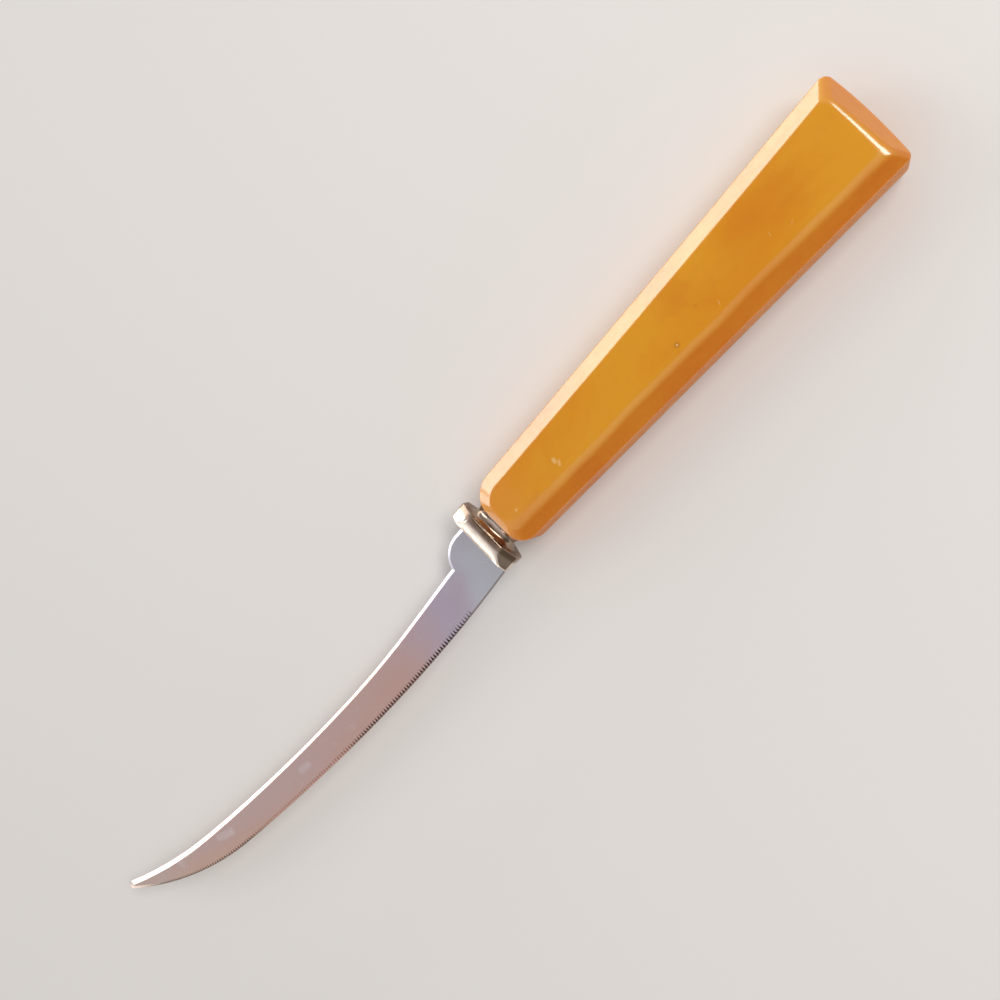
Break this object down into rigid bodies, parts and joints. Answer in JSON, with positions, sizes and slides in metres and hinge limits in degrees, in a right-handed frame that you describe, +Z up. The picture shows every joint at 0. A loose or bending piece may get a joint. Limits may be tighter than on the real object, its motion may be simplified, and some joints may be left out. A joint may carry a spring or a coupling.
{
  "type": "tomato knife",
  "caption": "Slim serrated kitchen knife with an upswept curved blade, polished metal bolster and tapered bevelled amber resin handle, for slicing tomatoes",
  "frame": {"origin": "on the resting plane, under the middle of the knife's bounding box", "axes": "+X from the blade's tip to the butt of the handle, +Y towards the spine of the blade, +Z up out of the flat upper face of the handle"},
  "size_m": [0.2102, 0.0196, 0.011],
  "materials": {
    "blade_steel": "plain stainless, lightly satin, faint water marks",
    "bolster_plating": "polished plating, slightly warm and worn",
    "handle_resin": "polished amber cast phenolic resin with soft mottling"
  },
  "bodies": {
    "root": {"blade": "blade_steel", "bolster": "bolster_plating", "handle": "handle_resin"}
  },
  "joints": []
}
